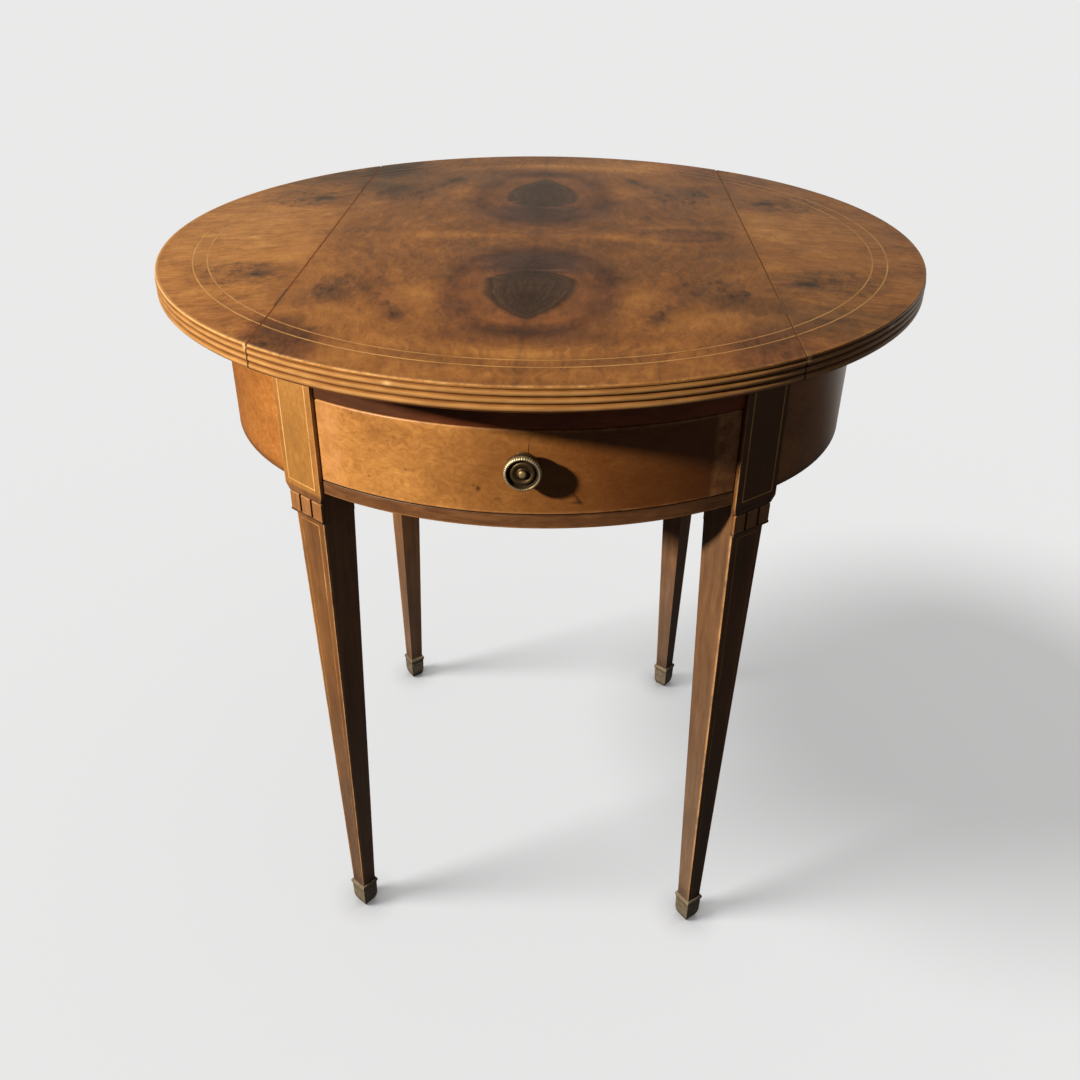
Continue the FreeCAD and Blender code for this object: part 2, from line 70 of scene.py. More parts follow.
class F:
    """A number that varies over a surface: a node socket with arithmetic."""

    def __init__(self, g, s):
        self.g, self.s = g, s

    def __add__(self, o):
        return self.g.math("ADD", self, o)

    __radd__ = __add__

    def __sub__(self, o):
        return self.g.math("SUBTRACT", self, o)

    def __rsub__(self, o):
        return self.g.math("SUBTRACT", o, self)

    def __mul__(self, o):
        return self.g.math("MULTIPLY", self, o)

    __rmul__ = __mul__

    def __truediv__(self, o):
        return self.g.math("DIVIDE", self, o)

    def __neg__(self):
        return self.g.math("MULTIPLY", self, -1.0)

    def sq(self):
        return self.g.math("MULTIPLY", self, self)

    def abs(self):
        return self.g.math("ABSOLUTE", self)

    def sqrt(self):
        return self.g.math("SQRT", self)

    def sin(self):
        return self.g.math("SINE", self)

    def pow(self, e):
        return self.g.math("POWER", self, e)

    def clamp(self):
        n = self.g.math("ADD", self, 0.0)
        n.s.node.use_clamp = True
        return n


class Graph:
    """A procedural material; positions are in millimetres in the part's own frame."""

    def __init__(self, name):
        self.mat = bpy.data.materials.new(name)
        self.mat.use_nodes = True
        self.t = self.mat.node_tree
        self.t.nodes.clear()
        out = self.node("ShaderNodeOutputMaterial")
        self.bsdf = self.node("ShaderNodeBsdfPrincipled")
        self.t.links.new(self.bsdf.outputs[0], out.inputs[0])
        tc = self.node("ShaderNodeTexCoord")
        mm = self.node("ShaderNodeVectorMath")
        mm.operation = "SCALE"
        mm.inputs["Scale"].default_value = 1000.0
        self.t.links.new(tc.outputs["Object"], mm.inputs[0])
        self.p = mm.outputs[0]
        sep = self.node("ShaderNodeSeparateXYZ")
        self.t.links.new(self.p, sep.inputs[0])
        self.x, self.y, self.z = (F(self, sep.outputs[i]) for i in range(3))

    def node(self, kind):
        return self.t.nodes.new(kind)

    def put(self, socket, v):
        if isinstance(v, F):
            self.t.links.new(v.s, socket)
        elif isinstance(v, bpy.types.NodeSocket):
            self.t.links.new(v, socket)
        else:
            socket.default_value = v

    def math(self, op, a, b=None, c=None):
        n = self.node("ShaderNodeMath")
        n.operation = op
        for i, v in enumerate((a, b, c)):
            if v is not None:
                self.put(n.inputs[i], v)
        return F(self, n.outputs[0])

    def max(self, a, b):
        return self.math("MAXIMUM", a, b)

    def min(self, a, b):
        return self.math("MINIMUM", a, b)

    def step(self, v, lo, hi, a=0.0, b=1.0):
        """Smooth step of v from lo to hi, giving a to b."""
        n = self.node("ShaderNodeMapRange")
        n.interpolation_type = "SMOOTHSTEP"
        for i, val in enumerate((v, lo, hi, a, b)):
            self.put(n.inputs[i], val)
        return F(self, n.outputs[0])

    def vec(self, x, y, z):
        n = self.node("ShaderNodeCombineXYZ")
        for i, v in enumerate((x, y, z)):
            self.put(n.inputs[i], v)
        return n.outputs[0]

    def noise_node(self, v, size, detail, rough, distort):
        n = self.node("ShaderNodeTexNoise")
        self.put(n.inputs["Vector"], v)
        n.inputs["Scale"].default_value = 1.0 / size
        n.inputs["Detail"].default_value = detail
        n.inputs["Roughness"].default_value = rough
        n.inputs["Distortion"].default_value = distort
        return n

    def noise(self, v, size, detail=3.0, rough=0.5, distort=0.0):
        """Noise around 0, about -0.5 to 0.5, with features about size mm across."""
        n = self.noise_node(v, size, detail, rough, distort)
        return F(self, n.outputs[0]) - 0.5

    def noise3(self, v, size, detail=1.0):
        n = self.noise_node(v, size, detail, 0.5, 0.0)
        s = self.node("ShaderNodeSeparateColor")
        self.t.links.new(n.outputs[1], s.inputs[0])
        return [F(self, s.outputs[i]) - 0.5 for i in range(3)]

    def cells(self, v, size, rand=1.0):
        """Distance to the nearest of scattered points, in cell sizes."""
        n = self.node("ShaderNodeTexVoronoi")
        self.put(n.inputs["Vector"], v)
        n.inputs["Scale"].default_value = 1.0 / size
        n.inputs["Randomness"].default_value = rand
        return F(self, n.outputs["Distance"])

    def blob(self, u, v, cu, cv, ru, rv):
        """Soft oval spot, 1 at its middle."""
        d = ((u - cu) * (1.0 / ru)).sq() + ((v - cv) * (1.0 / rv)).sq()
        return self.math("EXPONENT", d * -1.0)

    def ramp(self, v, stops):
        n = self.node("ShaderNodeValToRGB")
        e = n.color_ramp.elements
        while len(e) < len(stops):
            e.new(0.5)
        for el, (pos, rgb) in zip(e, stops):
            el.position = pos
            el.color = lin(rgb)
        self.put(n.inputs[0], v)
        return n.outputs[0]

    def mix(self, f, a, b):
        n = self.node("ShaderNodeMix")
        n.data_type = "RGBA"
        n.clamp_factor = True
        self.put(n.inputs[0], f)
        for i, v in ((6, a), (7, b)):
            self.put(n.inputs[i], lin(v) if isinstance(v, tuple) and len(v) == 3 else v)
        return n.outputs[2]

    def scale_colour(self, c, f):
        """Colour times a factor that varies over the surface."""
        n = self.node("ShaderNodeVectorMath")
        n.operation = "SCALE"
        self.put(n.inputs[0], c)
        self.put(n.inputs["Scale"], f)
        return n.outputs[0]

    def bump(self, height, strength, distance):
        n = self.node("ShaderNodeBump")
        n.inputs["Strength"].default_value = strength
        n.inputs["Distance"].default_value = distance
        self.put(n.inputs["Height"], height)
        self.t.links.new(n.outputs[0], self.bsdf.inputs["Normal"])

    def finish(self, colour, rough, **fixed):
        self.put(self.bsdf.inputs["Base Color"], colour)
        self.put(self.bsdf.inputs["Roughness"], rough)
        for k, v in fixed.items():
            self.bsdf.inputs[k.replace("_", " ")].default_value = v
        return self.mat


# ------------------------------------------------------------------ materials
WALNUT = [(0.0, (36, 25, 16)), (0.15, (60, 41, 26)), (0.3, (88, 59, 35)), (0.45, (116, 76, 42)), (0.6, (146, 97, 50)), (0.75, (170, 118, 62)),
          (0.9, (190, 138, 78)), (1.0, (206, 156, 94))]


def top_material():
    g = Graph("figured_walnut_top")
    x, y, z = g.x, g.y, g.z
    r = (x.sq() + y.sq()).sqrt()
    u0, v0 = (x + 1.0).abs(), y.abs()
    a = g.noise3(g.vec(u0, v0, 3.0), 58.0, 2.0)
    b = g.noise3(g.p, 30.0, 3.0)
    c = g.noise3(g.p, 9.0, 2.0)
    u = u0 + a[0] * 34.0 + b[0] * 16.0 + c[0] * 6.0
    v = v0 + a[1] * 34.0 + b[1] * 16.0 + c[1] * 6.0
    ue = u0 + a[0] * 5.0 + b[0] * 8.0 + c[0] * 3.0
    ve = v0 + a[1] * 8.0 + b[1] * 8.0 + c[1] * 3.0
    ua = (ue.sq() + 6.0).sqrt()

    # cloudy figure; the grain runs from front to back in the middle and crosswise on the lids
    lids = g.step(x.abs() + b[2] * 30.0, 178.0, 235.0)
    # painted shade: the - x term darkens the top towards the right, where the light falls off
    tone = g.noise(g.vec(u, v, 0.0), 80.0, 3.0, 0.55) * 0.48 + 0.53 + lids * 0.12 - x * 0.00016
    tone = tone + g.noise(g.vec(u * 1.15, v * 0.62, 9.0), 15.0, 6.0, 0.68, 0.9) * 0.40
    strand = g.noise(g.vec(x + b[0] * 12.0 + c[0] * 2.0, y * 0.12, 4.0), 2.6, 4.0, 0.7)
    across = g.noise(g.vec(x * 0.22 + b[0] * 5.0, y + x.abs() * 0.3 + b[1] * 14.0, 4.0), 3.4, 5.0, 0.7)
    broad = g.noise(g.vec(x * 0.30 + b[0] * 18.0, y + x.abs() * 0.3 + b[1] * 30.0, 8.0), 13.0, 4.0, 0.6, 0.6)
    tone = tone + strand * (1.0 - lids) * 0.26 + across * (lids * 0.46 + 0.08) + broad * lids * 0.46
    tone = tone + c[2] * 0.10

    # flame lines that run round the two eyes
    e2 = ((ua * (1.0 / 77.0)).sq() + ((ve - 152.0) * (1.0 / 118.0)).sq()).sqrt()
    lines = g.noise(g.vec(e2 * 9.0 + b[2] * 1.4, ue * 0.012, ve * 0.012), 1.0, 5.0, 0.7)
    tone = tone + lines * g.step(e2, 2.6, 0.9, 0.06, 0.30)
    flame = g.noise(g.vec(u + v * 0.34, v * 0.10, 6.0), 7.0, 5.0, 0.7, 0.5)
    tone = tone + flame * (1.0 - lids * 0.6) * g.step(e2, 0.95, 1.4) * 0.42
    m2 = g.step(e2 + c[0] * 0.08, 1.06, 0.92)
    bar = g.blob(e2, e2, 0.9, 0.9, 0.17, 0.17) * g.step(c[1] + b[0], -0.35, 0.25, 0.45, 1.0)
    patch = g.blob(x, ve, 64.0, 128.0, 19.0, 26.0)
    foot = g.blob(ue, ve, 0.0, 266.0, 96.0, 15.0) + g.blob(ue, ve, 6.0, 258.0, 30.0, 17.0) * 0.7
    bulb = g.step(((ue * (1.0 / 50.0)).sq() + ((ve - 86.0) * (1.0 / 33.0)).sq()).sqrt() + c[1] * 0.35, 1.25, 0.40)
    neck = g.blob(ue, ve, 0.0, 110.0, 38.0, 14.0)
    dome = g.blob(ue, ve, 0.0, 72.0, 56.0, 38.0)
    wing = g.blob(ue, ve, 82.0, 72.0, 32.0, 20.0)
    tone = tone - m2 * 0.06 - bar * 0.13 - patch * 0.08 - foot * 0.12 - bulb * 0.18 - neck * 0.24 - dome * 0.14 - wing * 0.04
    arch = g.blob(e2, e2, 1.18, 1.18, 0.06, 0.06) * g.step(v0, 130.0, 60.0)
    joint = g.step(u0 + c[0] * 0.6, 0.9, 0.2) * g.step(v0, 225.0, 240.0, 0.25, 1.0)
    tone = tone + arch * 0.06 - joint * 0.035

    # golden places; the wide one at the back right is partly a painted sheen
    gold = g.blob(u, v, 84.0, 0.0, 52.0, 13.0) * 0.15 + g.blob(u, v, 286.0, 0.0, 58.0, 95.0) * 0.08
    gold = gold + g.blob(ue, v, 96.0, 168.0, 14.0, 60.0) * 0.12 + g.blob(r, u, 303.0, 0.0, 13.0, 130.0) * 0.19 + g.blob(x, y, 110.0, 302.0, 95.0, 36.0) * 0.30 + g.blob(r, u, 344.0, 0.0, 15.0, 190.0) * g.step(y, 0.0, -60.0) * 0.10
    gold = gold + g.blob(x, v, 216.0, 84.0, 15.0, 24.0) * 0.16 + g.blob(u, v, 150.0, 226.0, 36.0, 20.0) * 0.08 + g.blob(u, v, 190.0, 214.0, 22.0, 11.0) * 0.10
    gold = gold + g.blob(x, y, 224.0, 26.0, 24.0, 48.0) * 0.17 + g.blob(x, y, 135.0, -232.0, 60.0, 26.0) * 0.10 + g.blob(x, y, -224.0, -70.0, 20.0, 34.0) * 0.10
    tone = tone + gold

    # burl patches, knots, dark stains, and painted shade at the back left and the right front corner
    pick = g.step(c[2], -0.14, 0.12, 0.2, 1.0)
    sx, sy = u0 + c[0] * 7.0, v0 + c[1] * 7.0
    speck = g.step(g.cells(g.vec(sx * 1.15, sy * 0.5, 1.0), 9.0), 0.56, 0.04) * pick
    dots = g.step(g.cells(g.vec(sx, sy * 0.6, 7.0), 4.2), 0.36, 0.16) * g.step(b[2], -0.06, 0.10)
    curl = g.noise(g.vec(u0 + c[0] * 16.0, v0 * 0.7 + c[1] * 16.0, 2.0), 6.0, 5.0, 0.72, 2.2)
    m5 = g.step(g.blob(u, v, 163.0, 158.0, 30.0, 50.0), 0.25, 0.8)
    m6 = g.step(g.blob(u + (v - 160.0) * 0.32, v, 127.0, 168.0, 12.0, 74.0), 0.25, 0.8)
    m8 = g.step(g.blob(u, v, 262.0, 132.0, 50.0, 42.0), 0.2, 0.85)
    edge = v * 0.86 + u * 0.5
    m9 = g.step(edge, 292.0, 322.0) * g.step(u, 140.0, 170.0) * g.step(x.abs(), 226.0, 208.0)
    m10 = g.blob(u, v, 240.0, 238.0, 34.0, 32.0)
    burl = (m5 + m8 + m6 * 0.4).clamp()
    tone = tone - m5 * g.step(x, -40.0, 40.0, 0.14, 0.08) - m6 * 0.07 - m8 * 0.13 - m9 * g.step(x, 0.0, 40.0, 0.19, 0.06) - m10 * 0.12
    tone = tone - speck * (m5 * g.step(x, 0.0, 40.0, 0.18, 0.36) + m6 * 0.26 + m8 * 0.18 + m9 * 0.10 + 0.03) - dots * (burl * 0.09 + m9 * 0.12 + 0.04)
    tone = tone + curl * ((m5 + m8) * 0.56 + m6 * 0.30 + m9 * 0.24 + 0.12)
    ku, kv = u0 + b[0] * 16.0 + c[0] * 12.0, v0 + b[1] * 14.0 + c[1] * 12.0
    knot = g.blob(ku, kv, 241.0, 134.0, 10.0, 7.0)
    spot = g.blob(ku, kv, 104.0, 229.0, 10.0, 14.0)
    tone = tone - knot * 0.40 - spot * 0.30
    el = (((x - 140.0 + b[0] * 16.0) * (1.0 / 44.0)).sq() + ((y - 8.0 + b[1] * 12.0) * (1.0 / 19.0)).sq()).sqrt() + c[0] * 0.35
    lens = g.step(el, 1.15, 0.7)
    tone = tone - lens * 0.12 - g.blob(el, el, 0.98, 0.98, 0.22, 0.22) * 0.09 + g.blob(el, el, 1.6, 1.6, 0.35, 0.35) * 0.07
    tone = tone - g.blob(x, y, -160.0, 14.0, 34.0, 16.0) * 0.08
    # painted shade: the top darkens toward the back left and the right front corner, where the light falls off; both
    # are also tinted olive below
    painted_shade_back_left = g.blob(x, y, -215.0, 238.0, 125.0, 84.0)
    corner = g.blob(x, y, 238.0, -214.0, 58.0, 40.0)
    tone = tone - painted_shade_back_left * 0.29 - corner * 0.14

    col = g.ramp(tone, WALNUT)
    red = (m2 * 0.8 + lens * 0.6 + m10 * 0.5 + foot * 0.6 + bar * 0.4 + m6 * 0.5 + m5 * 0.4 + m9 * 0.8).clamp()
    col = g.mix(red * 0.6, col, g.ramp(tone, [(0.0, (42, 25, 17)), (0.3, (92, 55, 34)), (0.6, (148, 92, 53)), (1.0, (202, 142, 88))]))
    col = g.mix((bulb * 0.8 + dome * 0.35 + neck * 0.3).clamp(), col, g.ramp(tone, [(0.0, (40, 28, 26)), (0.3, (86, 59, 51)), (0.6, (138, 94, 74)), (1.0, (184, 134, 104))]))
    olive = (burl * 0.3 + painted_shade_back_left * 0.7 + corner * 0.9).clamp()
    col = g.mix(olive * 0.6, col, g.ramp(tone, [(0.0, (40, 31, 21)), (0.3, (86, 64, 40)), (0.6, (139, 104, 64)), (1.0, (192, 152, 100))]))

    # the eye: an acorn, drawn to a point on the outer side
    top = ((ve - 110.0) * (1.0 / 24.0)).clamp().sqrt()
    fall = ((ve - 148.0) * (1.0 / 85.0)).clamp()
    deep = top * (1.0 - fall.pow(2.3)) * 38.0 - ua
    rings = g.noise(g.vec(deep * 0.34 + b[2] * 2.6, ue * 0.02, ve * 0.02), 1.0, 5.0, 0.75)
    inner = g.noise(g.vec(ue + c[0] * 4.0, ve * 0.45 + c[1] * 6.0, 5.0), 5.0, 5.0, 0.72, 1.6)
    et = inner * 0.85 + rings * 1.5 + strand * 0.35 + 0.37 - g.blob(deep, deep, 1.0, 1.0, 3.2, 3.2) * 0.12 + g.blob(deep, deep, 6.5, 6.5, 2.2, 2.2) * 0.22
    et = et - g.blob(ue, ve, 2.0, 188.0, 11.0, 17.0) * 0.16 - g.step(ve, 142.0, 116.0) * 0.10
    eye_col = g.ramp(et, [(0.0, (24, 17, 12)), (0.3, (44, 32, 24)), (0.55, (66, 49, 36)), (0.8, (92, 72, 53)), (1.0, (122, 98, 72))])
    eye = g.step(deep + rings * 4.0 + inner * 4.0, -6.0, 4.6)
    col = g.mix(eye * 0.92, col, eye_col)
    lash = g.blob(x + ve * 0.3, ve, 48.0, 107.0, 15.0, 2.4) + g.blob(x, ve - x * 0.35, -33.0, 141.0, 7.0, 2.6)
    col = g.mix(lash.clamp() * g.step(c[1], -0.2, 0.2, 0.1, 0.7), col, (136, 102, 80))

    # pores and polish scratches
    pore = g.noise(g.vec(x, y * 0.12, 0.0), 0.9, 2.0, 0.6)
    col = g.scale_colour(col, g.step(pore, -0.05, -0.3, 1.0, 0.70))

    # reeded rim, raw underside, faces along the seams
    side_m = g.step(z, 731.5, 730.7) * g.step(r, 357.5, 358.5)
    streak = g.noise(g.vec(x * 0.5, y * 0.5, z * 5.0), 14.0, 4.0, 0.6)
    rim = g.ramp(streak * 0.9 + 0.5, [(0.0, (78, 48, 25)), (0.5, (126, 86, 47)), (1.0, (172, 128, 78))])
    chip = g.noise(g.p, 7.0, 4.0, 0.65)
    rubbed = g.noise(g.vec(x * 0.4, y * 0.4, z * 2.0), 12.0, 4.0, 0.6)
    rim = g.mix(g.step(r, 360.9, 361.7) * g.step(rubbed, -0.25, 0.25, 0.25, 0.68) * g.step(x, -260.0, 60.0, 1.0, 0.8), rim, (192, 150, 98))
    rim = g.mix(g.step(r, 360.6, 360.05) * 0.7, rim, (74, 38, 18))
    rim = g.mix(g.step((x.abs() - 207.0).abs(), 1.1, 0.5) * 0.8, rim, (34, 22, 14))
    col = g.mix(side_m, col, rim)
    # the upper lip of the rim is paler: partly wear, partly a painted highlight, stronger towards the lit left (the - x
    # term)
    lip = g.step(r, 357.4, 360.4) * g.step(z, 730.6, 731.2)
    col = g.mix(lip * g.step(chip - x * 0.0008, -0.15, 0.3, 0.1, 0.75), col, (204, 164, 112))
    plank = g.noise(g.vec(x + b[0] * 14.0, y * 0.04, 11.0), 3.2, 5.0, 0.65, 0.3) * 1.0 + b[2] * 0.3 + 0.5
    raw = g.ramp(plank, [(0.0, (74, 51, 31)), (0.4, (118, 86, 54)), (0.75, (148, 111, 73)), (1.0, (172, 136, 94))])
    under = g.step(z, 712.6, 712.0) * g.step(r, 358.0, 357.0)
    col = g.mix(under, col, raw)
    # faces along the seams: a pale raw-wood colour, darker on the right seam (painted shade over a face the lamp
    # lights); near the top they also glow faintly, painted light standing in for light bounced into the gap
    slot = g.step((x.abs() - 206.35).abs(), 1.2, 0.95) * g.step(z, 731.95, 731.6) * g.step(r, 360.0, 358.0)
    raw_edge = g.ramp(streak * 0.6 + 0.5, [(0.0, (150, 106, 66)), (1.0, (206, 158, 106))])
    col = g.mix(slot, col, g.scale_colour(raw_edge, g.step(x, -20.0, 20.0, 1.0, 0.32)))
    g.mat.cycles.emission_sampling = "NONE"
    g.put(g.bsdf.inputs["Emission Color"], g.mix(slot * g.step(z, 727.0, 730.0), (0, 0, 0), (70, 47, 31)))
    notch = g.blob(x, z, 208.6, 729.0, 2.0, 2.0) * g.step(y, -280.0, -288.0)
    notch = notch + g.blob(x, z, -208.6, 729.6, 1.5, 1.6) * g.step(y, -280.0, -288.0) * 0.8
    notch = notch + g.blob(x, z, 287.0, 727.0, 2.2, 1.6) * g.step(y, 0.0, -10.0) * 0.7 + g.blob(x, z, -92.0, 726.6, 3.0, 1.6) * g.step(y, 0.0, -10.0) * 0.6
    col = g.mix(notch.clamp() * 0.9, col, (226, 192, 144))

    scuff = g.noise(g.vec(x * 0.5, y * 0.5, 2.0), 26.0, 4.0, 0.6)
    rough = scuff * 0.2 + 0.46 + under * 0.3 + pore * 0.10
    h = pore * 0.5 + tone * 0.25 + streak * side_m * 0.8
    g.bump(h, 0.35, 0.0003)
    return g.finish(col, rough, Specular_IOR_Level=0.25, Coat_Weight=0.2, Coat_Roughness=0.2, Emission_Strength=1.0)


def mottled(g, stops, flat=1.0, fine=1.0):
    """Figured walnut on the curved faces: clouds, mottle, specks and fine grain."""
    x, y, z = g.x, g.y, g.z
    w = g.noise3(g.p, 40.0, 2.0)
    q = g.noise3(g.p, 8.0, 2.0)
    wx, wy, wz = x + w[0] * 16.0 + q[0] * 4.0, y + w[1] * 16.0 + q[1] * 4.0, z + w[2] * 12.0 + q[2] * 4.0
    t = g.noise(g.vec(wx * 0.8, wy * 0.8, wz * 1.3), 46.0, 2.0) * 0.42 * flat + 0.52
    t = t + g.noise(g.vec(wx, wy, wz * 1.3), 9.0, 5.0, 0.65, 1.0) * 0.62 * flat
    t = t + g.noise(g.vec(wx * 0.35, wy * 0.35, wz), 2.2, 4.0, 0.65) * 0.34 * fine
    specks = g.step(g.cells(g.vec(wx, wy, wz), 6.0), 0.30, 0.08) * g.step(w[0], 0.0, 0.16)
    t = t - specks * 0.17
    return t, g.ramp(t, stops), w


APRON = [(0.0, (78, 45, 21)), (0.3, (122, 75, 35)), (0.6, (156, 102, 49)), (0.85, (182, 126, 64)), (1.0, (200, 148, 86))]


def apron_material():
    g = Graph("figured_walnut_apron")
    t, col, w = mottled(g, APRON)
    dirt = g.step(g.z + w[1] * 5.0, 574.0, 565.5)
    col = g.mix(dirt * 0.6, col, (48, 29, 18))
    # painted shadow: darker towards the top, under the overhang of the top
    top = g.step(g.z + w[0] * 8.0, 676.0, 700.0)
    col = g.mix(top * 0.5, col, (52, 32, 20))
    pore = g.noise(g.vec(g.x * 0.12, g.y * 0.12, g.z), 0.8, 2.0, 0.6)
    # pores darken the colour; the right-hand apron is darker as well, painted shade on the side away from the light
    col = g.scale_colour(col, g.step(pore, -0.05, -0.3, 1.0, 0.8) * g.step(g.x, 60.0, 240.0, 1.0, 0.8))
    g.bump(pore * 0.6 + t * 0.3, 0.3, 0.0003)
    return g.finish(col, t * 0.12 + 0.30, Specular_IOR_Level=0.45, Coat_Weight=0.15, Coat_Roughness=0.2)


def rail_material(upper=False):
    g = Graph("walnut_rail_with_painted_shade" if upper else "walnut_rail")
    x, y, z = g.x, g.y, g.z
    t = g.noise(g.vec(x * 0.18, y * 0.3, z), 5.0, 4.0, 0.6, 0.5) * 0.72 + 0.45
    t = t + g.noise(g.p, 30.0, 2.0) * 0.3
    if upper:
        col = g.ramp(t, [(0.0, (64, 27, 12)), (0.4, (112, 52, 24)), (0.8, (150, 82, 42)), (1.0, (172, 108, 62))])
        # painted shadow: the left end of the rail darkened where the top's shadow falls, and painted shade along its
        # upper part, under the top
        painted_shadow_left = g.step(x + z * 2.0, 1340.0, 1200.0)
        col = g.mix(painted_shadow_left * 0.8, col, (46, 33, 21))
        painted_shade_under_top = g.step(z + t * 6.0, 666.0, 676.0)
        col = g.mix(painted_shade_under_top * 0.25, col, (54, 22, 9))
    else:
        col = g.ramp(t, [(0.0, (52, 32, 20)), (0.4, (90, 59, 36)), (0.8, (128, 90, 57)), (1.0, (154, 116, 77))])
        worn = g.step(z, 567.6, 565.6) * g.step(g.noise(g.p, 12.0, 3.0), -0.2, 0.2, 0.2, 0.8)
        col = g.mix(worn * 0.6, col, (188, 138, 84))
        dirt = g.step(z, 577.0, 578.4)
        col = g.mix(dirt * 0.7, col, (40, 24, 15))
    pore = g.noise(g.vec(x * 0.12, y * 0.12, z), 0.8, 2.0, 0.6)
    g.bump(pore * 0.6 + t * 0.4, 0.35, 0.0003)
    return g.finish(col, t * 0.14 + 0.36, Specular_IOR_Level=0.4)


def drawer_material():
    g = Graph("figured_walnut_drawer")
    x, y, z = g.x, g.y, g.z
    t, col, w = mottled(g, [(0.0, (84, 52, 26)), (0.3, (130, 87, 43)), (0.6, (167, 118, 63)), (0.85, (194, 144, 83)), (1.0, (214, 170, 110))], 1.15, 1.0)
    # darker round the knob: partly handling dirt, partly painted shade and a painted shadow below and right of the knob
    grime_and_painted_shadow = g.blob(x, z, -22.0, 620.0, 50.0, 28.0) + g.blob(x, z, 40.0, 602.0, 20.0, 10.0) * 0.8 + g.blob(x, z, -120.0, 640.0, 14.0, 12.0) * 0.6
    col = g.mix((grime_and_painted_shadow * (w[1] * 1.6 + 0.85)).clamp() * 0.55, col, (96, 55, 27))
    # painted shade: the drawer front darkens towards the right, away from the light
    painted_shade_right = g.step(x + w[0] * 50.0, -115.0, 105.0)
    col = g.mix(painted_shade_right * 0.84, col, (86, 41, 9))
    # softened, paler edges all round
    chip = g.noise(g.p, 11.0, 3.0, 0.6)
    ez = g.max(g.step(z, 583.0, 579.2), g.step(z, 653.4, 656.8))
    ex = g.step(x.abs(), 154.0, 160.0)
    edge = g.max(ez, ex) * g.step(chip, -0.2, 0.2, 0.2, 1.0)
    col = g.mix(edge * 0.5, col, (188, 138, 94))
    # small dents and a scratch
    dent = g.blob(x, z, -37.0, 601.5, 2.0, 2.4) + g.blob(x, z, -41.0, 604.0, 1.4, 1.2) * 0.6 + g.blob(x, z, -21.0, 593.0, 2.6, 1.5) * 0.5
    dent = dent + g.blob(x + z * 0.6, z, 401.0, 593.0, 1.6, 6.0) * 0.8 + g.blob(x, z, 44.0, 590.0, 4.5, 1.2) * 0.7
    dent = dent + g.blob(x, z, -98.0, 611.0, 1.5, 1.2) * 0.6 + g.blob(x, z, -132.0, 597.0, 1.3, 1.0) * 0.7
    col = g.mix(dent.clamp() * 0.85, col, (44, 26, 15))
    back = g.step((x.sq() + (y - 75.0).sq()).sqrt(), 335.0, 333.0)
    raw = g.ramp(g.noise(g.vec(x * 0.12, y, z), 3.0, 4.0, 0.6) + 0.5, [(0.0, (112, 78, 46)), (1.0, (170, 128, 82))])
    col = g.mix(back, col, raw)
    pore = g.noise(g.vec(x * 0.12, y * 0.12, z), 0.8, 2.0, 0.6)
    col = g.scale_colour(col, g.step(pore, -0.05, -0.3, 1.0, 0.82))
    g.bump(pore * 0.5 + t * 0.3 - dent * 3.0, 0.35, 0.0003)
    return g.finish(col, t * 0.14 + 0.34, Specular_IOR_Level=0.36, Coat_Weight=0.08, Coat_Roughness=0.25)


